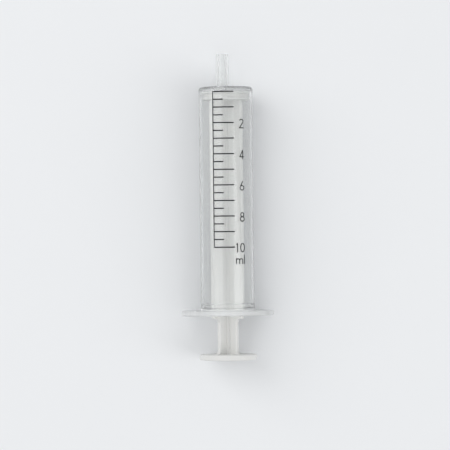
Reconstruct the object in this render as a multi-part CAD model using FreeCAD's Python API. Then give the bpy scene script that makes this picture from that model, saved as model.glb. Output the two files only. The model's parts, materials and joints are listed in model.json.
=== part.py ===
import FreeCAD, Part
import math
import os

# A ten millilitre syringe of two moulded pieces: a clear barrel with a finger flange and an
# off-centre slip nozzle, and a plunger with cross ribs and two sealing lips of its own.
# Sizes are in millimetres. The syringe lies on the flat of its flange with the scale up. Its axis
# runs along Y with the nozzle at +Y, +X is to the right of the scale, and the origin is on the
# ground under the middle of the whole length, with the plunger pushed home.

# Barrel
capacity_ml = 10.0
bore_d = 15.9
barrel_wall = 0.85
front_wall = 1.1
shoulder_round = 1.0
bore_corner_round = 0.5
flange_to_scale = 20.7

# Bell mouth and the bead that keeps the plunger in
mouth_flare = 0.4
mouth_depth = 1.2
bead_height = 0.35
bead_width = 1.6
bead_from_rear = 3.2

# Finger flange, a disc cut straight at top and bottom
flange_long = 30.0
flange_lip = 0.6
flange_t = 1.6
flange_corner_round = 3.0
flange_edge_round = 0.4
flange_root_round = 0.4

# Slip nozzle with the usual taper of 6 parts in 100, swung a little to the left of straight down
luer_gauge_d = 3.97
luer_gauge_from_tip = 0.75
luer_taper = 0.06
nozzle_l = 10.9
nozzle_offset = 4.2
nozzle_swing_deg = 14.0
nozzle_tip_round = 0.3
nozzle_root_round = 0.6
channel_tip_d = 1.9
channel_root_d = 2.3

# Piston, the front of the plunger
lip_clearance = 0.03
lip_l = 0.45
groove_l = 1.1
groove_depth = 0.75
lip_flank_l = 0.2
crown_l = 0.5
crown_d = 13.2
dead_gap = 0.15
piston_foot_l = 0.25

# Plunger rod: four ribs on a core, full to just behind the flange, with a waist from there
rib_clearance = 0.7
rib_t = 1.25
rib_front_round = 1.8
rib_edge_round = 0.25
rib_turn_deg = 45.0
core_d = 2.8
rod_out = 12.6
rib_step_out = 1.0
rib_step_round = 0.6
waist_d = 8.6
waist_round = 1.35

# Thumb disc
thumb_disc_lift = 0.1
thumb_disc_t = 1.9
thumb_disc_round = 0.5
thumb_recess_d = 13.0
thumb_recess_depth = 0.35

# Printed scale
minor_step_ml = 0.5
numbered_step_ml = 2.0
ink_t = 0.06
line_w = 0.38
spine_w = 0.34
long_line_l = 7.15
short_line_l = 3.6
scale_left_deg = -29.5
digit_h = 3.1
digit_w = 1.8
stroke_w = 0.33
digit_gap = 0.785
letter_gap = 0.33
numbers_deg = 34.5
ten_deg = 30.7
number_drop = 0.35
ten_drop = 0.2
unit_deg = 29.1
unit_below_ten = 4.0
small_letter_h = 1.94
m_w = 2.6
pen_reach = 1.0

# Shapes of the signs, as angles and as shares of a digit's width, height or round
one_flag = 0.23
two_bowl = 0.9
two_bowl_from_deg = -35.0
two_bowl_to_deg = 165.0
four_bar_drop = 0.22
four_stem_out = 0.22
six_leave_deg = 155.0
six_tip_out = 0.45
eight_high_side = 0.8

# How closely an edge has to match to be picked for a fillet
same_place = 1e-6
same_length = 0.01

# Radii that follow
bore_r = bore_d / 2
barrel_r = bore_r + barrel_wall
bead_r = bore_r - bead_height
rib_r = bead_r - rib_clearance
lip_r = bore_r - lip_clearance
flange_half_height = barrel_r + flange_lip
axis_z = flange_half_height
thumb_disc_r = flange_half_height - thumb_disc_lift

# Places along the axis, from the thumb disc to the nozzle's end
mm_per_ml = 1000 / (math.pi * bore_r ** 2)
scale_l = capacity_ml * mm_per_ml
bore_front_l = crown_l + dead_gap
total_l = (thumb_disc_t + rod_out + flange_t + flange_to_scale + scale_l + bore_front_l
           + front_wall + nozzle_l)
disc_rear_y = -total_l / 2
disc_front_y = disc_rear_y + thumb_disc_t
flange_rear_y = disc_front_y + rod_out
flange_front_y = flange_rear_y + flange_t
ten_line_y = flange_front_y + flange_to_scale
zero_line_y = ten_line_y + scale_l
bore_end_y = zero_line_y + bore_front_l
shoulder_y = bore_end_y + front_wall
nozzle_tip_y = shoulder_y + nozzle_l
bead_y = flange_rear_y + bead_from_rear
rib_step_y = flange_rear_y - rib_step_out
piston_l = 2 * lip_l + groove_l + 2 * lip_flank_l
piston_rear_y = zero_line_y - piston_l

# The nozzle's own axis
nozzle_swing = math.radians(nozzle_swing_deg)
nozzle_x = -nozzle_offset * math.sin(nozzle_swing)
nozzle_z = axis_z - nozzle_offset * math.cos(nozzle_swing)
luer_tip_r = (luer_gauge_d - luer_taper * luer_gauge_from_tip) / 2
luer_root_r = luer_tip_r + luer_taper * nozzle_l / 2

# Half the pen's width, and how far its strokes reach out from the axis, past the ink
half_pen = stroke_w / 2
pen_l = barrel_r + pen_reach


def face_of(outline, z=0.0):
    """A flat face at a height z, from a closed outline of radius and Y.

    A point of the outline is (radius, y). One with two more numbers, (radius, y, mid_r, mid_y),
    is reached by an arc through that middle point, the others by a straight line.
    """
    edges = []
    last = outline[-1]
    for point in outline:
        start = FreeCAD.Vector(last[0], last[1], z)
        end = FreeCAD.Vector(point[0], point[1], z)
        if len(point) == 4:
            middle = FreeCAD.Vector(point[2], point[3], z)
            edges.append(Part.Arc(start, middle, end).toShape())
        else:
            edges.append(Part.makeLine(start, end))
        last = point
    return Part.Face(Part.Wire(edges))


def arc_to(centre_r, centre_y, radius, start_deg, end_deg):
    """The end of an arc about a centre, with its middle point, for an outline."""
    middle = math.radians((start_deg + end_deg) / 2)
    end = math.radians(end_deg)
    return (centre_r + radius * math.cos(end), centre_y + radius * math.sin(end),
            centre_r + radius * math.cos(middle), centre_y + radius * math.sin(middle))


def turned(outline, x=0.0, z=axis_z):
    """A solid turned from an outline about a line along Y through x and z."""
    solid = face_of(outline).revolve(FreeCAD.Vector(0, 0, 0), FreeCAD.Vector(0, 1, 0), 360)
    solid.translate(FreeCAD.Vector(x, 0, z))
    return solid


def barrel_tube():
    """The outside of the barrel from the flange to the shoulder, still solid."""
    corner_r = barrel_r - shoulder_round
    corner_y = shoulder_y - shoulder_round
    return turned([
        (0, flange_rear_y),
        (barrel_r, flange_rear_y),
        (barrel_r, corner_y),
        arc_to(corner_r, corner_y, shoulder_round, 0, 90),
        (0, shoulder_y),
    ])


def finger_flange():
    """A disc cut straight at top and bottom, with its corners and edges rounded."""
    disc = Part.makeCylinder(
        flange_long / 2, flange_t, FreeCAD.Vector(0, flange_rear_y, axis_z), FreeCAD.Vector(0, 1, 0))
    band = Part.makeBox(
        flange_long, flange_t, 2 * flange_half_height,
        FreeCAD.Vector(-flange_long / 2, flange_rear_y, axis_z - flange_half_height))
    flange = disc.common(band)
    corners = [edge for edge in flange.Edges if runs_along_y(edge, flange_t)]
    flange = flange.makeFillet(flange_corner_round, corners)
    rims = [edge for edge in flange.Edges if not runs_along_y(edge, flange_t)]
    return flange.makeFillet(flange_edge_round, rims)


def runs_along_y(edge, length):
    """True for an edge that goes straight along Y for at least the length."""
    box = edge.BoundBox
    return (box.YLength > (1 - same_length) * length
            and box.DiagonalLength < (1 + same_length) * edge.Length)


def nozzle():
    """The tapered nozzle with its rounded end and its flared root in the front wall."""
    tip_round_y = nozzle_tip_y - nozzle_tip_round
    root_end_y = shoulder_y + nozzle_root_round
    root_r = luer_root_r - luer_taper * nozzle_root_round / 2
    tip_r = luer_tip_r + luer_taper * nozzle_tip_round / 2
    flare_r = root_r + nozzle_root_round
    return turned([
        (0, shoulder_y - front_wall / 2),
        (flare_r, shoulder_y - front_wall / 2),
        (flare_r, shoulder_y),
        arc_to(flare_r, root_end_y, nozzle_root_round, 270, 180),
        (tip_r, tip_round_y),
        arc_to(tip_r - nozzle_tip_round, tip_round_y, nozzle_tip_round, 0, 90),
        (0, nozzle_tip_y),
    ], nozzle_x, nozzle_z)


def bore():
    """The hollow of the barrel: bell mouth, keeping bead, straight bore and rounded front corner."""
    mouth_r = bore_r + mouth_flare
    half_bead = bead_width / 2
    corner_r = bore_r - bore_corner_round
    corner_y = bore_end_y - bore_corner_round
    return turned([
        (0, flange_rear_y),
        (mouth_r, flange_rear_y),
        (bore_r, flange_rear_y + mouth_depth),
        (bore_r, bead_y - half_bead),
        (bore_r, bead_y + half_bead, bead_r, bead_y),
        (bore_r, corner_y),
        arc_to(corner_r, corner_y, bore_corner_round, 0, 90),
        (0, bore_end_y),
    ])


def channel():
    """The narrow way through the nozzle, with a little draft."""
    return Part.makeCone(
        channel_root_d / 2, channel_tip_d / 2, nozzle_tip_y - bore_end_y,
        FreeCAD.Vector(nozzle_x, bore_end_y, nozzle_z), FreeCAD.Vector(0, 1, 0))


def barrel():
    """Tube, flange and nozzle in one piece, hollowed, with a rounded root at the flange."""
    solid = barrel_tube().fuse([finger_flange(), nozzle()]).removeSplitter()
    root = [edge for edge in solid.Edges if is_ring(edge, barrel_r, flange_front_y)]
    solid = solid.makeFillet(flange_root_round, root)
    return solid.cut([bore(), channel()]).removeSplitter()


def is_ring(edge, radius, y):
    """True for a circle about the syringe's axis, of that radius and at that Y."""
    curve = edge.Curve
    return (isinstance(curve, Part.Circle) and abs(curve.Radius - radius) < same_place
            and abs(curve.Center.y - y) < same_place)


def piston():
    """A flat crown, two sealing lips with a groove between them, and a short foot."""
    groove_r = lip_r - groove_depth
    front_lip_rear_y = zero_line_y - lip_l
    groove_front_y = front_lip_rear_y - lip_flank_l
    groove_rear_y = groove_front_y - groove_l
    rear_lip_front_y = groove_rear_y - lip_flank_l
    rear_lip_rear_y = rear_lip_front_y - lip_l
    return turned([
        (0, rear_lip_rear_y - piston_foot_l),
        (groove_r - piston_foot_l, rear_lip_rear_y - piston_foot_l),
        (lip_r, rear_lip_rear_y),
        (lip_r, rear_lip_front_y),
        (groove_r, groove_rear_y),
        (groove_r, groove_front_y),
        (lip_r, front_lip_rear_y),
        (lip_r, zero_line_y),
        (crown_d / 2, zero_line_y + crown_l),
        (0, zero_line_y + crown_l),
    ])


def rib():
    """One rib from the axis outwards, rounded at the piston and stepped in to the waist."""
    front_y = piston_rear_y
    round_r = rib_r - rib_front_round
    round_y = front_y - rib_front_round
    waist_r = waist_d / 2
    hollow_r = waist_r + waist_round
    outline = [
        (0, front_y),
        (round_r, front_y),
        arc_to(round_r, round_y, rib_front_round, 90, 0),
        (rib_r, rib_step_y + rib_step_round),
        arc_to(rib_r - rib_step_round, rib_step_y + rib_step_round, rib_step_round, 0, -90),
        (hollow_r, rib_step_y),
        arc_to(hollow_r, rib_step_y - waist_round, waist_round, 90, 180),
        (waist_r, disc_front_y + waist_round),
        arc_to(hollow_r, disc_front_y + waist_round, waist_round, 180, 270),
        (0, disc_front_y),
    ]
    plate = face_of(outline, -rib_t / 2).extrude(FreeCAD.Vector(0, 0, rib_t))
    edges = [edge for edge in plate.Edges if runs_along_y(edge, rod_out / 2) and off_axis(edge)]
    return plate.makeFillet(rib_edge_round, edges)


def off_axis(edge):
    """True for an edge of a rib that lies outside the core."""
    return edge.BoundBox.XMin > core_d / 2


def thumb_disc():
    """The round disc for the thumb, with a rounded rim and a shallow recess in its rear face."""
    recess_r = thumb_recess_d / 2
    inner_r = thumb_disc_r - thumb_disc_round
    return turned([
        (0, disc_rear_y + thumb_recess_depth),
        (recess_r - thumb_recess_depth, disc_rear_y + thumb_recess_depth),
        (recess_r, disc_rear_y),
        (inner_r, disc_rear_y),
        arc_to(inner_r, disc_rear_y + thumb_disc_round, thumb_disc_round, -90, 0),
        (thumb_disc_r, disc_front_y - thumb_disc_round),
        arc_to(inner_r, disc_front_y - thumb_disc_round, thumb_disc_round, 0, 90),
        (0, disc_front_y),
    ])


def rod_core():
    """The round core that the ribs stand on."""
    return Part.makeCylinder(
        core_d / 2, piston_rear_y - disc_front_y,
        FreeCAD.Vector(0, disc_front_y, axis_z), FreeCAD.Vector(0, 1, 0))


def plunger():
    """Piston, ribs, core and thumb disc in one piece."""
    ribs = []
    for quarter in range(4):
        one = rib()
        one.rotate(FreeCAD.Vector(0, 0, 0), FreeCAD.Vector(0, 1, 0), rib_turn_deg + 90 * quarter)
        one.translate(FreeCAD.Vector(0, 0, axis_z))
        ribs.append(one)
    return piston().fuse([rod_core(), thumb_disc()] + ribs).removeSplitter()


def ink_shell():
    """A thin tube on the outside of the barrel, as thick as the ink, that the print is cut from."""
    start = FreeCAD.Vector(0, flange_front_y, axis_z)
    along = FreeCAD.Vector(0, 1, 0)
    length = shoulder_y - flange_front_y
    outer = Part.makeCylinder(barrel_r + ink_t, length, start, along)
    return outer.cut(Part.makeCylinder(barrel_r, length, start, along))


def ink_band(start_deg, arc_l, y, width):
    """A printed line round the barrel, from an angle off the top towards +X, as long as arc_l."""
    sweep_deg = math.degrees(arc_l / barrel_r)
    half = width / 2
    outline = [(barrel_r, y - half), (barrel_r + ink_t, y - half),
               (barrel_r + ink_t, y + half), (barrel_r, y + half)]
    points = [FreeCAD.Vector(r, height, 0) for r, height in outline]
    face = Part.Face(Part.makePolygon(points + points[:1]))
    band = face.revolve(FreeCAD.Vector(0, 0, 0), FreeCAD.Vector(0, 1, 0), -sweep_deg)
    band.rotate(FreeCAD.Vector(0, 0, 0), FreeCAD.Vector(0, 1, 0), start_deg - 90 + sweep_deg)
    band.translate(FreeCAD.Vector(0, 0, axis_z))
    return band


def pen_line(start, end):
    """A straight pen stroke between two points of a sign, as a tall block to cut the ink with."""
    along = FreeCAD.Vector(end[0] - start[0], end[1] - start[1], 0)
    across = FreeCAD.Vector(-along.y, along.x, 0)
    across.normalize()
    across.multiply(half_pen)
    first = FreeCAD.Vector(start[0], start[1], 0)
    corners = [first + across, first + along + across, first + along - across, first - across]
    face = Part.Face(Part.makePolygon(corners + corners[:1]))
    return face.extrude(FreeCAD.Vector(0, 0, pen_l))


def pen_round(side, top, start_deg, end_deg):
    """A tall round or oval block between two angles, from its half width and its half height."""
    origin = FreeCAD.Vector(0, 0, 0)
    up = FreeCAD.Vector(0, 0, 1)
    block = Part.makeCylinder(side, pen_l, origin, up, end_deg - start_deg)
    block.rotate(origin, up, start_deg)
    if top != side:
        matrix = FreeCAD.Matrix()
        matrix.scale(1, top / side, 1)
        block = block.transformGeometry(matrix)
    return block


def pen_arc(centre, radius, start_deg, end_deg, stretch=1.0):
    """A round pen stroke about a centre, with its middle line at the radius, stretched along Y."""
    outer = pen_round(radius + half_pen, stretch * radius + half_pen, start_deg, end_deg)
    ring = outer.cut(pen_round(radius - half_pen, stretch * radius - half_pen, 0, 360))
    ring.translate(FreeCAD.Vector(centre[0], centre[1], 0))
    return ring


# The signs, each drawn about its own middle, with x to the right and y up
sign_top = digit_h / 2 - half_pen
sign_side = digit_w / 2 - half_pen


def sign_0():
    """A closed round, taller than wide."""
    return [pen_arc((0, 0), sign_side, 0, 360, sign_top / sign_side)]


def sign_1():
    """An upright stroke with a short slanting flag."""
    flag = one_flag * digit_w
    return [pen_line((0, -digit_h / 2), (0, digit_h / 2)),
            pen_line((-flag, sign_top - flag), (0, sign_top))]


def sign_2():
    """An open round that runs on into a slanting stroke, and a flat foot."""
    bowl_r = two_bowl * sign_side
    bowl_y = sign_top - bowl_r
    foot_y = -sign_top
    leave = math.radians(two_bowl_from_deg)
    knee = (bowl_r * math.cos(leave), bowl_y + bowl_r * math.sin(leave))
    return [pen_arc((0, bowl_y), bowl_r, two_bowl_from_deg, two_bowl_to_deg),
            pen_line(knee, (-sign_side, foot_y)),
            pen_line((-digit_w / 2, foot_y), (digit_w / 2, foot_y))]


def sign_4():
    """An upright stroke, a slanting one and a bar."""
    bar_y = -four_bar_drop * digit_h
    stem_x = four_stem_out * digit_w
    return [pen_line((stem_x, -digit_h / 2), (stem_x, digit_h / 2)),
            pen_line((stem_x, sign_top), (-sign_side, bar_y)),
            pen_line((-digit_w / 2, bar_y), (digit_w / 2, bar_y))]


def sign_6():
    """A closed round, and a straight stroke that leaves it upwards."""
    bowl_r = sign_side
    bowl_y = -sign_top + bowl_r
    leave = math.radians(six_leave_deg)
    foot = (bowl_r * math.cos(leave), bowl_y + bowl_r * math.sin(leave))
    return [pen_arc((0, bowl_y), bowl_r, 0, 360),
            pen_line(foot, (six_tip_out * sign_side, digit_h / 2))]


def sign_8():
    """A round with a narrower one on it, which reaches the top."""
    high_side = eight_high_side * sign_side
    return [pen_arc((0, sign_side - sign_top), sign_side, 0, 360),
            pen_arc((0, sign_side), high_side, 0, 360, (sign_top - sign_side) / high_side)]


def sign_m():
    """A small m whose feet stand on the base line that the middle of the l shares."""
    base_y = -digit_h / 2
    arch_r = (m_w - stroke_w) / 4
    arch_y = base_y + small_letter_h - half_pen - arch_r
    strokes = [pen_line((-2 * arch_r, base_y), (-2 * arch_r, base_y + small_letter_h))]
    for arch_x in (-arch_r, arch_r):
        strokes.append(pen_arc((arch_x, arch_y), arch_r, 0, 180))
        strokes.append(pen_line((arch_x + arch_r, base_y), (arch_x + arch_r, arch_y)))
    return strokes


def sign_l():
    """An upright stroke."""
    return [pen_line((0, -digit_h / 2), (0, digit_h / 2))]


SIGNS = {"0": sign_0, "1": sign_1, "2": sign_2, "4": sign_4, "6": sign_6, "8": sign_8,
         "m": sign_m, "l": sign_l}
SIGN_WIDTH = {"1": stroke_w, "l": stroke_w, "m": m_w}


def printed(word, gap, middle_deg, y, shell):
    """The signs of a word side by side round the barrel, about an angle off the top."""
    widths = [SIGN_WIDTH.get(letter, digit_w) for letter in word]
    place = -(sum(widths) + gap * (len(word) - 1)) / 2
    solids = []
    for letter, width in zip(word, widths):
        strokes = SIGNS[letter]()
        sign = strokes[0].fuse(strokes[1:]) if len(strokes) > 1 else strokes[0]
        sign.translate(FreeCAD.Vector(0, y, 0))
        angle_deg = middle_deg + math.degrees((place + width / 2) / barrel_r)
        sign.rotate(FreeCAD.Vector(0, 0, 0), FreeCAD.Vector(0, 1, 0), angle_deg)
        sign.translate(FreeCAD.Vector(0, 0, axis_z))
        solids.extend(shell.common(sign).removeSplitter().Solids)
        place += width + gap
    return solids


def scale_print():
    """Lines for each half millilitre, the line that joins them, their numbers and the unit."""
    shell = ink_shell()
    solids = []
    steps = round(capacity_ml / minor_step_ml)
    steps_per_ml = round(1 / minor_step_ml)
    spine_deg = math.degrees(spine_w / barrel_r)
    for step in range(steps + 1):
        volume = step * minor_step_ml
        line_y = zero_line_y - volume * mm_per_ml
        whole = step % steps_per_ml == 0
        length = long_line_l if whole else short_line_l
        solids.append(ink_band(scale_left_deg + spine_deg, length - spine_w, line_y, line_w))
        if volume and whole and volume % numbered_step_ml == 0:
            number = str(round(volume))
            middle_deg, drop = (numbers_deg, number_drop) if len(number) == 1 else (ten_deg, ten_drop)
            solids.extend(printed(number, digit_gap, middle_deg, line_y - drop, shell))
    middle_y = (zero_line_y + ten_line_y) / 2
    solids.append(ink_band(scale_left_deg, spine_w, middle_y, scale_l + line_w))
    solids.extend(printed("ml", letter_gap, unit_deg, ten_line_y - unit_below_ten, shell))
    return Part.makeCompound(solids)


def main():
    os.makedirs("parts", exist_ok=True)
    for name, make in (("barrel", barrel), ("plunger", plunger), ("scale_print", scale_print)):
        shape = make()
        print(name, "solids", len(shape.Solids), "valid", shape.isValid(),
              "volume", round(shape.Volume, 2))
        shape.exportStep("parts/" + name + ".step")


main()
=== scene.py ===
"""Dresses a 10 ml two-piece syringe: a hazy clear barrel, a milky plunger and a printed scale.

Everything is in metres. The syringe's axis runs along Y with the nozzle at +Y, and the scale faces up.
"""

import json
import math

import bpy
import numpy as np
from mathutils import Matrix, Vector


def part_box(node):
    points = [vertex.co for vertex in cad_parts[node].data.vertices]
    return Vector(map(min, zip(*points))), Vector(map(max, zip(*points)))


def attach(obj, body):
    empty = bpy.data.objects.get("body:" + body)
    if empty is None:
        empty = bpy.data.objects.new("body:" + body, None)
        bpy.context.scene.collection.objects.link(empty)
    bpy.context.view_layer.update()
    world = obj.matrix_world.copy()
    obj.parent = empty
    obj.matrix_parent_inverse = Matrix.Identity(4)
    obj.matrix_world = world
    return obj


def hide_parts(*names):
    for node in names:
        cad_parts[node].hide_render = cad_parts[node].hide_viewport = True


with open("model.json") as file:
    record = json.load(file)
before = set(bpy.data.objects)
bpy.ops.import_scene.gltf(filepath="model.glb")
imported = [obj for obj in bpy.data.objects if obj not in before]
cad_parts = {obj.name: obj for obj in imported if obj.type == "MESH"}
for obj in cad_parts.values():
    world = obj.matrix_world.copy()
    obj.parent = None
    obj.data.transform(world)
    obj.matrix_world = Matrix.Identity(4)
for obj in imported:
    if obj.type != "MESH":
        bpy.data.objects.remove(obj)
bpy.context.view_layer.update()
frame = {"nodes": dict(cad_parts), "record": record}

bl_info = {
    "name": "Slip-tip syringe",
    "version": (1, 0, 0),
    "blender": (4, 5, 0),
    "location": "3D View > Sidebar > Syringe",
    "description": "Barrel, plunger, printed scale and stage of a 10 ml two-piece syringe",
    "category": "Object",
}

MM = 0.001
ML = 1e-6
SENSOR_W = 36.0

# Lines for each millilitre, and the millilitres from one number to the next
LINES_PER_ML = 2
ML_PER_NUMBER = 2

# Points of a straight and of a round pen path, a stroke's rings and the points round each, and how
# many rings the wander of its width is smoothed over
STRAIGHT_POINTS = 24
ROUND_POINTS = 64
STROKE_RINGS = 40
STROKE_AROUND = 14
SMOOTH_RINGS = 5

# Rings of the gate's mark, and the points round each
GATE_RINGS = 22
GATE_AROUND = 48

# Shapes of the signs, as angles in degrees and as shares of a digit's width, height or lower round
ONE_FLAG = 0.23
TWO_BOWL = 0.9
TWO_BOWL_FROM = -35.0
TWO_BOWL_TO = 165.0
FOUR_BAR_DROP = 0.22
FOUR_STEM_OUT = 0.22
SIX_LEAVE = 155.0
SIX_TIP_OUT = 0.45
EIGHT_HIGH_SIDE = 0.8

mounts = {mount["name"]: mount for mount in frame["record"]["mounts"]}
barrel_low, barrel_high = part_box("barrel")
print_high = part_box("scale_print")[1]
axis_z = (barrel_low.z + barrel_high.z) / 2
recess_y = mounts["thumb_rest"]["pos_m"][1]
flange_y = mounts["flange_rest"]["pos_m"][1]
flange_half = mounts["flange_front"]["pos_m"][1] - flange_y


def length(name, description, default):
    """A property for a size in metres."""
    return bpy.props.FloatProperty(
        name=name, description=description, default=default, min=0.0, precision=5, unit="LENGTH")


def lengths(name, description, default):
    """A property for a place, or for a width and a length, in metres."""
    return bpy.props.FloatVectorProperty(
        name=name, description=description, default=default, size=len(default), precision=5,
        unit="LENGTH")


def measure(name, description, default, unit="NONE"):
    """A property for a measure in another unit."""
    return bpy.props.FloatProperty(
        name=name, description=description, default=default, min=0.0, unit=unit)


def angle(name, description, degrees):
    """A property for an angle, given in degrees."""
    return bpy.props.FloatProperty(
        name=name, description=description, default=math.radians(degrees), subtype="ANGLE")


def share(name, description, default):
    """A property for a share between none and all."""
    return bpy.props.FloatProperty(
        name=name, description=description, default=default, min=0.0, max=1.0, subtype="FACTOR")


def colour(name, description, default):
    """A property for a colour."""
    return bpy.props.FloatVectorProperty(
        name=name, description=description, default=default, min=0.0, max=1.0, size=3,
        subtype="COLOR")


class SyringePrint(bpy.types.PropertyGroup):
    """Sizes of the printed scale"""

    barrel_r: length("Barrel radius", "Outside of the barrel", mounts["barrel_outside"]["dims"]["r_mm"] * MM)
    bore_d: length("Bore", "Width of the bore, which sets the millilitres apart", 15.9 * MM)
    capacity_ml: bpy.props.IntProperty(
        name="Capacity", description="Millilitres on the scale", default=10, min=2, max=10)
    ink: length("Ink", "How far the ink stands up", 0.05 * MM)
    sunk: share("Sunk", "How far the ink reaches into the barrel, of its height", 0.4)
    line_w: length("Line width", "Width of the lines across", 0.38 * MM)
    spine_w: length("Long line width", "Width of the line that joins them", 0.34 * MM)
    long_line: length("Long line", "Length of the line at each millilitre", 7.15 * MM)
    short_line: length("Short line", "Length of the line at each half millilitre", 3.6 * MM)
    left: angle("Left end", "Where the lines start, off the top", -29.5)
    digit_h: length("Digit height", "Height of a digit", 3.1 * MM)
    digit_w: length("Digit width", "Width of a digit", 1.8 * MM)
    stroke_w: length("Pen width", "Width of a digit's strokes", 0.33 * MM)
    digit_gap: length("Digit gap", "Gap between two digits", 0.785 * MM)
    letter_gap: length("Letter gap", "Gap between the two letters", 0.33 * MM)
    digits: angle("Digits", "Middle of a single digit, off the top", 34.5)
    ten: angle("Ten", "Middle of the 10, off the top", 30.7)
    unit: angle("Unit", "Middle of the unit, off the top", 29.1)
    number_drop: length("Number drop", "How far a single digit's middle is under its line", 0.35 * MM)
    ten_drop: length("Ten's drop", "How far the middle of the 10 is under its line", 0.2 * MM)
    unit_below: length("Unit below", "From the last line to the unit's middle", 4.0 * MM)
    small_h: length("Small letter height", "Height of the m", 1.94 * MM)
    m_w: length("Width of the m", "Width of the m", 2.6 * MM)
    uneven: share("Unevenness", "How much the ink's edge wanders, of its width", 0.06)


class SyringeLook(bpy.types.PropertyGroup):
    """Colours and finishes"""

    clear: colour("Barrel", "What the clear plastic lets through", (0.96, 0.968, 0.966))
    shadow: colour("Barrel's shadow", "What it lets through to its shadow", (0.96, 0.965, 0.967))
    milk: colour("Haze colour", "The milk in the barrel's wall", (0.80, 0.81, 0.81))
    haze: share("Haze", "How milky the barrel's wall is", 0.16)
    flange_haze: share("Flange haze", "How much milkier the thick flange is", 0.5)
    ripple: length("Ripple", "Height of the flow lines on the barrel", 0.0025 * MM)
    milky: colour("Plunger", "The pale plunger", (0.74, 0.74, 0.722))
    spread: length("Spread", "How far light spreads in the plunger", 1.6 * MM)
    grain: length("Grain", "Height of the grain on the plunger", 0.03 * MM)
    black: colour("Ink", "The printing ink", (0.004, 0.004, 0.0045))
    ink_grain: length("Ink grain", "Height of the grain on the ink", 0.01 * MM)
    gate_r: length("Gate mark", "Radius of the mark where the plunger was filled", 1.1 * MM)
    gate_h: length("Gate height", "Height of that mark", 0.2 * MM)


class SyringeStage(bpy.types.PropertyGroup):
    """Floor, light and camera"""

    floor: colour("Floor", "The pale floor", (0.82, 0.83, 0.84))
    floor_w: length("Floor width", "Width of the square floor", 3.0)
    key_w: measure("Key light", "Power of the large soft light", 4.2, "POWER")
    key_place: lengths("Key place", "Where the large soft light hangs", (-0.66, 0.3, 0.7))
    key_size: lengths("Key size", "Its width and length", (0.85, 1.1))
    fill_w: measure("Fill light", "Power of the soft light on the other side", 2.6, "POWER")
    fill_place: lengths("Fill place", "Where the other soft light hangs", (0.75, -0.25, 0.6))
    fill_size: lengths("Fill size", "Its width and length", (0.5, 0.9))
    sky: measure("Sky", "Strength of the light from all round", 0.68)
    sky_tint: colour("Sky colour", "Colour of the light from all round", (0.975, 0.985, 1.0))
    lens_mm: measure("Lens", "Focal length in mm", 250.0, "CAMERA")
    view_w: length("View width", "What the picture is wide, at the height of the print", 0.14545)
    print_rise: length("Print height", "From the axis up to the print", 8.0 * MM)
    middle: lengths("Middle", "What lies in the picture's middle", (-0.65 * MM, -5.93 * MM))
    turn: angle("Turn", "How far the picture is turned against the syringe", -0.62)


class Value:
    """A number that a node gives. Its operators add Math nodes to the same tree."""

    def __init__(self, finish, socket):
        self.finish = finish
        self.socket = socket

    def maths(self, operation, first, second=0.0):
        """The value of a Math node on one or two others."""
        made = self.finish.node("ShaderNodeMath", {"operation": operation}, {0: first, 1: second})
        return Value(self.finish, made.outputs[0])

    def __add__(self, other):
        return self.maths("ADD", self, other)

    def __sub__(self, other):
        return self.maths("SUBTRACT", self, other)

    def __rsub__(self, other):
        return self.maths("SUBTRACT", other, self)

    def __mul__(self, other):
        return self.maths("MULTIPLY", self, other)

    def __abs__(self):
        return self.maths("ABSOLUTE", self)

    __radd__ = __add__
    __rmul__ = __mul__

    def below(self, low, high):
        """1 under low, 0 over high and a smooth step between them."""
        made = self.finish.node(
            "ShaderNodeMapRange", {"interpolation_type": "SMOOTHSTEP"},
            {"Value": self, "From Min": low, "From Max": high, "To Min": 1.0, "To Max": 0.0})
        return Value(self.finish, made.outputs["Result"])


class Finish:
    """A material that is made of nodes."""

    def __init__(self, name):
        self.material = bpy.data.materials.new(name)
        self.material.use_nodes = True
        self.tree = self.material.node_tree
        self.tree.nodes.clear()
        self.place = self.node("ShaderNodeTexCoord", {}, {}).outputs["Object"]

    def node(self, kind, settings, inputs):
        """Adds a node of a kind, sets it up, then gives its sockets their numbers or links."""
        made = self.tree.nodes.new(kind)
        for key, value in settings.items():
            setattr(made, key, value)
        for key, value in inputs.items():
            source = value.socket if isinstance(value, Value) else value
            if isinstance(source, bpy.types.NodeSocket):
                self.tree.links.new(source, made.inputs[key])
            else:
                made.inputs[key].default_value = source
        return made

    def noise(self, stretch, detail=2.0, rough=0.5):
        """Noise whose grain has so many spots for each metre along x, y and z."""
        moved = self.node("ShaderNodeMapping", {}, {"Vector": self.place, "Scale": stretch})
        made = self.node(
            "ShaderNodeTexNoise", {},
            {"Vector": moved.outputs[0], "Scale": 1.0, "Detail": detail, "Roughness": rough})
        return Value(self, made.outputs["Fac"])

    def along(self, axis):
        """One of the three coordinates, in metres."""
        made = self.node("ShaderNodeSeparateXYZ", {}, {"Vector": self.place})
        return Value(self, made.outputs[axis])

    def blend(self, factor, first, second):
        """A colour between two others."""
        made = self.node(
            "ShaderNodeMix", {"data_type": "RGBA"},
            {"Factor": factor, 6: first + (1.0,), 7: second + (1.0,)})
        return made.outputs[2]

    def bump(self, height, depth):
        """A normal for a height between 0 and 1 that stands for so many metres."""
        made = self.node("ShaderNodeBump", {}, {"Height": height, "Strength": 1.0, "Distance": depth})
        return made.outputs["Normal"]

    def plastic(self, inputs):
        """A plastic's shader."""
        return self.node("ShaderNodeBsdfPrincipled", {}, inputs).outputs[0]

    def mixed(self, factor, first, second):
        """A shader between two others."""
        made = self.node("ShaderNodeMixShader", {}, {0: factor, 1: first, 2: second})
        return made.outputs[0]

    def close(self, shader):
        """Gives the shader to the surface, and the material back."""
        self.node("ShaderNodeOutputMaterial", {}, {"Surface": shader})
        return self.material


def shaded(tone, amount):
    """A colour made darker by a share of itself."""
    return tuple(channel * (1 - amount) for channel in tone)


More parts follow.
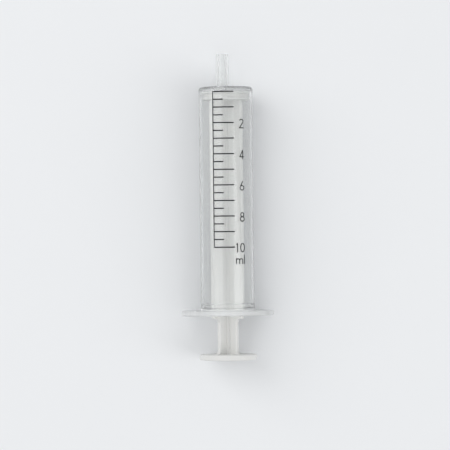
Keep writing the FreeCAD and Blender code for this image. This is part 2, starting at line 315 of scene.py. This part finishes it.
def clear_plastic(look):
    """Clear polypropylene: glossy, faintly hazy, with long flow lines and a milkier flange."""
    finish = Finish("hazy_clear_polypropylene")
    flow = finish.noise((420.0, 8.0, 420.0), 2.0)
    cloud = finish.noise((110.0, 60.0, 110.0))
    peel = finish.noise((1500.0, 1500.0, 1500.0), 1.0)
    normal = finish.bump(flow * 0.9 + peel * 0.1, look.ripple)
    tint = tuple(look.clear)
    clear = finish.plastic({
        "Base Color": finish.blend(cloud, tint, shaded(tint, 0.04)),
        "Roughness": 0.05 + cloud * 0.09,
        "IOR": 1.49,
        "Transmission Weight": 1.0,
        "Normal": normal,
    })
    white = tuple(look.milk)
    milk = finish.plastic({
        "Base Color": finish.blend(cloud, white, shaded(white, 0.08)),
        "Roughness": 0.3 + cloud * 0.2,
        "Normal": normal,
    })
    thick = abs(finish.along("Y") - flange_y).below(flange_half, 2 * flange_half)
    body = finish.mixed(look.haze * 0.5 + flow * look.haze + thick * look.flange_haze, clear, milk)
    path = finish.node("ShaderNodeLightPath", {}, {})
    lit = finish.node("ShaderNodeBsdfTransparent", {}, {"Color": tuple(look.shadow) + (1.0,)})
    return finish.close(finish.mixed(path.outputs["Is Shadow Ray"], body, lit.outputs[0]))


def milky_plastic(look):
    """Milky polyethylene: satin, with light that spreads in it, faint flow and a fine skin."""
    finish = Finish("milky_polyethylene")
    cloud = finish.noise((160.0, 70.0, 160.0))
    flow = finish.noise((420.0, 34.0, 420.0), 3.0)
    skin = finish.noise((5200.0, 5200.0, 5200.0), 2.0, 0.6)
    tint = tuple(look.milky)
    return finish.close(finish.plastic({
        "Base Color": finish.blend(cloud * 0.6 + flow * 0.4, tint, shaded(tint, 0.09)),
        "Roughness": 0.30 + skin * 0.16 + cloud * 0.08,
        "IOR": 1.5,
        "Subsurface Weight": 0.35,
        "Subsurface Radius": (1.0, 0.97, 0.94),
        "Subsurface Scale": look.spread,
        "Normal": finish.bump(flow * 0.6 + skin * 0.4, look.grain),
    }))


def printing_ink(look):
    """Black ink, a little uneven in gloss and cover."""
    finish = Finish("printing_ink")
    patch = finish.noise((2400.0, 2400.0, 2400.0), 3.0)
    tint = tuple(look.black)
    return finish.close(finish.plastic({
        "Base Color": finish.blend(patch, tint, tuple(2.6 * channel for channel in tint)),
        "Roughness": 0.5 + patch * 0.2,
        "IOR": 1.3,
        "Normal": finish.bump(patch, look.ink_grain),
    }))


def dress(node, material):
    """Gives a carried-over node one finish in all its material slots."""
    for slot in frame["nodes"][node].material_slots:
        slot.material = material


def shell_faces(rings, around, first):
    """Faces of a closed shell of rings with a pole at each end, counted from its first point.

    The points are ring after ring, then the pole before the first ring and the one after the last.
    """
    ring, step = np.meshgrid(np.arange(rings - 1), np.arange(around), indexing="ij")
    here = ring * around + step
    across = ring * around + (step + 1) % around
    quads = np.stack([here, across, across + around, here + around], axis=-1).reshape(-1, 4)
    turn = np.arange(around)
    then = (turn + 1) % around
    last = (rings - 1) * around
    start_pole = np.full(around, rings * around)
    start = np.stack([then, turn, start_pole], axis=-1)
    end = np.stack([last + turn, last + then, start_pole + 1], axis=-1)
    return [part.tolist() for part in (quads + first, start + first, end + first)]


def made_mesh(name, shells, material):
    """One object from shells, each given as its points and the numbers of rings and points round."""
    points = []
    faces = []
    count = 0
    for vertices, rings, around in shells:
        for part in shell_faces(rings, around, count):
            faces.extend(part)
        points.append(vertices)
        count += len(vertices)
    mesh = bpy.data.meshes.new(name)
    mesh.from_pydata(np.concatenate(points), [], faces)
    mesh.polygons.foreach_set("use_smooth", np.ones(len(faces), dtype=bool))
    mesh.materials.append(material)
    mesh.validate()
    made = bpy.data.objects.new(name, mesh)
    bpy.context.scene.collection.objects.link(made)
    return made


def straight(start, end):
    """Points of a straight pen path: start and end, blended evenly."""
    part = np.linspace(0.0, 1.0, STRAIGHT_POINTS)[:, None]
    return np.array(start) * (1 - part) + np.array(end) * part


def bow(centre, radius, start_deg, end_deg, stretch=1.0):
    """Points of a round pen path: centre plus radius times cosine and, stretched, sine."""
    turn = np.radians(np.linspace(start_deg, end_deg, ROUND_POINTS))
    return np.stack([centre[0] + radius * np.cos(turn),
                     centre[1] + radius * stretch * np.sin(turn)], axis=-1)


def pen_shell(path, width, sizes, rng):
    """A pen stroke as a closed shell on the barrel.

    Along the path the half width is w/2 times the root of 1 - c squared, where c falls from 1 at
    each end to 0 half a width further in, so that both ends are round. Across it the ink stands up
    as the root of the sine of an angle that runs round the stroke, and its underside sinks a little
    way into the barrel, as that sine. At the ends the height falls as the fourth root of 1 - c
    squared. The rings stand closer near the ends: half evenly, half as a cosine. The width wanders a
    little from ring to ring, by smoothed noise.
    """
    steps = np.linalg.norm(np.diff(path, axis=0), axis=1)
    far = np.concatenate([[0.0], np.cumsum(steps)])
    total = far[-1]
    even = np.linspace(0.0, 1.0, STROKE_RINGS + 2)[1:-1]
    place = total * ((1 - np.cos(np.pi * even)) / 2 + even) / 2
    spot = np.stack([np.interp(place, far, path[:, k]) for k in (0, 1)], axis=-1)
    ahead = np.gradient(spot, axis=0)
    ahead /= np.linalg.norm(ahead, axis=1)[:, None]
    side = np.stack([ahead[:, 1], -ahead[:, 0]], axis=-1)
    short = np.clip(1 - np.minimum(place, total - place) / (width / 2), 0.0, 1.0)
    noise = rng.uniform(-1, 1, STROKE_RINGS + SMOOTH_RINGS - 1)
    noise = np.convolve(noise, np.ones(SMOOTH_RINGS) / SMOOTH_RINGS, "valid")
    wander = 1 + sizes.uneven * noise
    half = width / 2 * np.sqrt(1 - short ** 2) * wander
    turn = np.linspace(0.0, 2 * np.pi, STROKE_AROUND, endpoint=False)
    lift = np.sin(turn)
    height = sizes.ink * np.where(lift > 0, np.abs(lift) ** 0.5, sizes.sunk * lift)
    flat = spot[:, None, :] + side[:, None, :] * (half[:, None] * np.cos(turn))[:, :, None]
    rise = np.broadcast_to(height, flat.shape[:2]) * (1 - short ** 2)[:, None] ** 0.25
    ends = np.stack([path[0], path[-1]])
    flat = np.concatenate([flat.reshape(-1, 2), ends])
    rise = np.concatenate([rise.reshape(-1), [0.0, 0.0]])
    return wrapped(flat, rise, sizes.barrel_r), STROKE_RINGS, STROKE_AROUND


def wrapped(flat, rise, radius):
    """Points of a flat drawing laid round the barrel: the angle off the top is x over the radius."""
    turn = flat[:, 0] / radius
    far = radius + rise
    return np.stack([far * np.sin(turn), flat[:, 1], axis_z + far * np.cos(turn)], axis=-1)


class Pen:
    """How far a sign about its own middle reaches: full to the ink's edge, else to the pen's middle."""

    def __init__(self, sizes):
        self.half = sizes.stroke_w / 2
        self.full_top = sizes.digit_h / 2
        self.full_side = sizes.digit_w / 2
        self.top = self.full_top - self.half
        self.side = self.full_side - self.half
        self.sizes = sizes


def sign_0(pen):
    """A closed round, taller than wide."""
    return [bow((0, 0), pen.side, 90, 450, pen.top / pen.side)]


def sign_1(pen):
    """An upright stroke with a short slanting flag."""
    flag = 2 * ONE_FLAG * pen.full_side
    return [straight((0, -pen.full_top), (0, pen.full_top)),
            straight((-flag, pen.top - flag), (0, pen.top))]


def sign_2(pen):
    """An open round that runs on into a slanting stroke, and a flat foot."""
    bowl_r = TWO_BOWL * pen.side
    bowl = bow((0, pen.top - bowl_r), bowl_r, TWO_BOWL_TO, TWO_BOWL_FROM)
    return [np.concatenate([bowl, straight(bowl[-1], (-pen.side, -pen.top))[1:]]),
            straight((-pen.full_side, -pen.top), (pen.full_side, -pen.top))]


def sign_4(pen):
    """An upright stroke, a slanting one and a bar."""
    bar_y = -2 * FOUR_BAR_DROP * pen.full_top
    stem_x = 2 * FOUR_STEM_OUT * pen.full_side
    return [straight((stem_x, -pen.full_top), (stem_x, pen.full_top)),
            straight((stem_x, pen.top), (-pen.side, bar_y)),
            straight((-pen.full_side, bar_y), (pen.full_side, bar_y))]


def sign_6(pen):
    """A closed round, and a straight stroke that leaves it upwards."""
    bowl = bow((0, pen.side - pen.top), pen.side, SIX_LEAVE, SIX_LEAVE + 360)
    return [bowl, straight(bowl[0], (SIX_TIP_OUT * pen.side, pen.full_top))]


def sign_8(pen):
    """A closed round with a narrower one on it, which reaches the top."""
    high_side = EIGHT_HIGH_SIDE * pen.side
    return [bow((0, pen.side - pen.top), pen.side, 90, 450),
            bow((0, pen.side), high_side, 90, 450, (pen.top - pen.side) / high_side)]


def sign_m(pen):
    """A small m whose feet stand on the digits' base line."""
    base_y = -pen.full_top
    arch_r = (pen.sizes.m_w - pen.sizes.stroke_w) / 4
    arch_y = base_y + pen.sizes.small_h - pen.half - arch_r
    paths = [straight((-2 * arch_r, base_y), (-2 * arch_r, base_y + pen.sizes.small_h))]
    for arch_x in (-arch_r, arch_r):
        arch = bow((arch_x, arch_y), arch_r, 180, 0)
        paths.append(np.concatenate([arch, straight(arch[-1], (arch_x + arch_r, base_y))[1:]]))
    return paths


def sign_l(pen):
    """An upright stroke."""
    return [straight((0, -pen.full_top), (0, pen.full_top))]


SIGNS = {"0": sign_0, "1": sign_1, "2": sign_2, "4": sign_4, "6": sign_6, "8": sign_8,
         "m": sign_m, "l": sign_l}


def word_paths(word, middle, y, gap, sizes):
    """The pen paths of a word's signs side by side, about an angle off the top."""
    pen = Pen(sizes)
    widths = {"1": sizes.stroke_w, "l": sizes.stroke_w, "m": sizes.m_w}
    wide = [widths.get(letter, sizes.digit_w) for letter in word]
    x = middle * sizes.barrel_r - (sum(wide) + gap * (len(word) - 1)) / 2
    paths = []
    for letter, width in zip(word, wide):
        paths.extend(path + (x + width / 2, y) for path in SIGNS[letter](pen))
        x += width + gap
    return paths


def scale_shells(sizes):
    """The shells of all lines, digits and letters of the scale."""
    rng = np.random.default_rng(10)
    zero_y = print_high.y - sizes.line_w / 2
    ml_y = ML / (math.pi * (sizes.bore_d / 2) ** 2)
    left = sizes.left * sizes.barrel_r
    end_y = zero_y - sizes.capacity_ml * ml_y
    half = sizes.line_w / 2
    spine_x = left + sizes.spine_w / 2
    shells = [pen_shell(straight((spine_x, zero_y + half), (spine_x, end_y - half)),
                        sizes.spine_w, sizes, rng)]
    for step in range(LINES_PER_ML * sizes.capacity_ml + 1):
        y = zero_y - step / LINES_PER_ML * ml_y
        reach = sizes.short_line if step % LINES_PER_ML else sizes.long_line
        shells.append(pen_shell(straight((left, y), (left + reach, y)), sizes.line_w, sizes, rng))
        if step and step % (LINES_PER_ML * ML_PER_NUMBER) == 0:
            number = str(step // LINES_PER_ML)
            single = len(number) == 1
            middle = sizes.digits if single else sizes.ten
            drop = sizes.number_drop if single else sizes.ten_drop
            for path in word_paths(number, middle, y - drop, sizes.digit_gap, sizes):
                shells.append(pen_shell(path, sizes.stroke_w, sizes, rng))
    for path in word_paths("ml", sizes.unit, end_y - sizes.unit_below, sizes.letter_gap, sizes):
        shells.append(pen_shell(path, sizes.stroke_w, sizes, rng))
    return shells


def gate_shell(look):
    """The mark of the plunger's gate, turned about the syringe's axis.

    Its height over the share q of its radius is a low mound, 1 - q squared, and a torn rim, a bell
    about one q, which two sine waves of the angle make waver. Near the edge both fall straight to 0.
    """
    rng = np.random.default_rng(4)
    mound = 0.35
    rim_q = 0.55
    rim_width = 0.16
    edge = 0.15
    first_q = 0.04
    wide_wave = 0.25
    wide_count = 3
    fine_wave = 0.12
    fine_count = 7
    root = 0.1 * MM
    q = np.linspace(1.0, first_q, GATE_RINGS)[:, None]
    turn = np.linspace(0.0, 2 * np.pi, GATE_AROUND, endpoint=False)[None, :]
    waves = (1 + wide_wave * np.sin(wide_count * turn + rng.uniform(0, 6))
             + fine_wave * np.sin(fine_count * turn + rng.uniform(0, 6)))
    rim = np.exp(-((q - rim_q) / rim_width) ** 2) * waves / (1 + wide_wave + fine_wave)
    rise = mound * (1 - q ** 2) + (1 - mound) * rim
    rise = look.gate_h * rise * np.clip((1 - q) / edge, 0.0, 1.0)
    y = recess_y - rise
    points = np.stack([look.gate_r * q * np.cos(turn), y,
                       axis_z + look.gate_r * q * np.sin(turn)], axis=-1).reshape(-1, 3)
    under = (0.0, recess_y + root, axis_z)
    over = (0.0, recess_y - mound * look.gate_h, axis_z)
    return np.concatenate([points, [under, over]]), GATE_RINGS, GATE_AROUND


class SYRINGE_OT_barrel(bpy.types.Operator):
    """Gives the barrel its hazy clear plastic"""

    bl_idname = "syringe.barrel"
    bl_label = "Clear barrel"

    def execute(self, context):
        dress("barrel", clear_plastic(context.scene.syringe_look))
        return {"FINISHED"}


class SYRINGE_OT_plunger(bpy.types.Operator):
    """Gives the plunger its milky plastic and the mark of its gate"""

    bl_idname = "syringe.plunger"
    bl_label = "Milky plunger"

    def execute(self, context):
        look = context.scene.syringe_look
        material = milky_plastic(look)
        dress("plunger", material)
        gate = made_mesh("plunger_gate_mark", [gate_shell(look)], material)
        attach(gate, "plunger")
        return {"FINISHED"}


class SYRINGE_OT_scale(bpy.types.Operator):
    """Prints the scale on the barrel"""

    bl_idname = "syringe.scale"
    bl_label = "Printed scale"

    def execute(self, context):
        scene = context.scene
        ink = made_mesh("scale_ink_strokes", scale_shells(scene.syringe_print),
                        printing_ink(scene.syringe_look))
        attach(ink, "barrel")
        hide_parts("scale_print")
        return {"FINISHED"}


class SYRINGE_OT_stage(bpy.types.Operator):
    """Lays the pale floor and sets up the soft lights and the camera"""

    bl_idname = "syringe.stage"
    bl_label = "Stage"

    def execute(self, context):
        stage = context.scene.syringe_stage
        lay_floor(stage)
        soft_light("key_light", stage.key_place, stage.key_size, stage.key_w)
        soft_light("fill_light", stage.fill_place, stage.fill_size, stage.fill_w)
        sky_light(context.scene, stage)
        set_camera(context.scene, stage)
        context.scene.view_settings.view_transform = "Standard"
        return {"FINISHED"}


def lay_floor(stage):
    """A flat square floor of four points under the syringe."""
    finish = Finish("pale_floor")
    paper = finish.noise((30.0, 30.0, 30.0), 3.0)
    tint = tuple(stage.floor)
    material = finish.close(finish.plastic({
        "Base Color": finish.blend(paper, tint, shaded(tint, 0.015)),
        "Roughness": 0.7,
    }))
    mesh = bpy.data.meshes.new("floor")
    half = stage.floor_w / 2
    corners = [(-half, -half, 0), (half, -half, 0), (half, half, 0), (-half, half, 0)]
    mesh.from_pydata(corners, [], [(0, 1, 2, 3)])
    mesh.materials.append(material)
    floor = bpy.data.objects.new("floor", mesh)
    bpy.context.scene.collection.objects.link(floor)


def soft_light(name, place, size, power):
    """A softbox that faces the syringe."""
    light = bpy.data.lights.new(name, "AREA")
    light.shape = "RECTANGLE"
    light.size, light.size_y = size
    light.energy = power
    lamp = bpy.data.objects.new(name, light)
    bpy.context.scene.collection.objects.link(lamp)
    lamp.location = place
    away = lamp.location.copy()
    away.z -= axis_z
    lamp.rotation_euler = away.to_track_quat("Z", "Y").to_euler()


def sky_light(scene, stage):
    """Even light from all round."""
    world = bpy.data.worlds.new("studio")
    world.use_nodes = True
    background = world.node_tree.nodes["Background"]
    background.inputs["Color"].default_value = tuple(stage.sky_tint) + (1.0,)
    background.inputs["Strength"].default_value = stage.sky
    scene.world = world


def set_camera(scene, stage):
    """A camera that looks straight down, turned a little against the syringe."""
    camera = bpy.data.cameras.new("camera")
    camera.sensor_width = SENSOR_W
    camera.lens = stage.lens_mm
    camera.clip_start = 0.01
    eye = bpy.data.objects.new("camera", camera)
    scene.collection.objects.link(eye)
    away = stage.view_w * stage.lens_mm / SENSOR_W
    eye.location = (*stage.middle, axis_z + stage.print_rise + away)
    eye.rotation_euler = (0.0, 0.0, stage.turn)
    scene.camera = eye


class SYRINGE_PT_panel(bpy.types.Panel):
    """Lists the pieces of the syringe"""

    bl_idname = "SYRINGE_PT_panel"
    bl_label = "Syringe"
    bl_space_type = "VIEW_3D"
    bl_region_type = "UI"
    bl_category = "Syringe"

    def draw(self, context):
        for operator in operators:
            self.layout.operator(operator.bl_idname)
        for group in (context.scene.syringe_print, context.scene.syringe_look, context.scene.syringe_stage):
            column = self.layout.column(align=True)
            for key in group.bl_rna.properties.keys():
                if key not in ("rna_type", "name"):
                    column.prop(group, key)


operators = (SYRINGE_OT_barrel, SYRINGE_OT_plunger, SYRINGE_OT_scale, SYRINGE_OT_stage)
classes = (SyringePrint, SyringeLook, SyringeStage) + operators + (SYRINGE_PT_panel,)


def register():
    for item in classes:
        bpy.utils.register_class(item)
    bpy.types.Scene.syringe_print = bpy.props.PointerProperty(type=SyringePrint)
    bpy.types.Scene.syringe_look = bpy.props.PointerProperty(type=SyringeLook)
    bpy.types.Scene.syringe_stage = bpy.props.PointerProperty(type=SyringeStage)


def unregister():
    del bpy.types.Scene.syringe_stage
    del bpy.types.Scene.syringe_look
    del bpy.types.Scene.syringe_print
    for item in reversed(classes):
        bpy.utils.unregister_class(item)


def main():
    register()
    bpy.ops.syringe.barrel()
    bpy.ops.syringe.plunger()
    bpy.ops.syringe.scale()
    bpy.ops.syringe.stage()


if __name__ == "__main__":
    main()
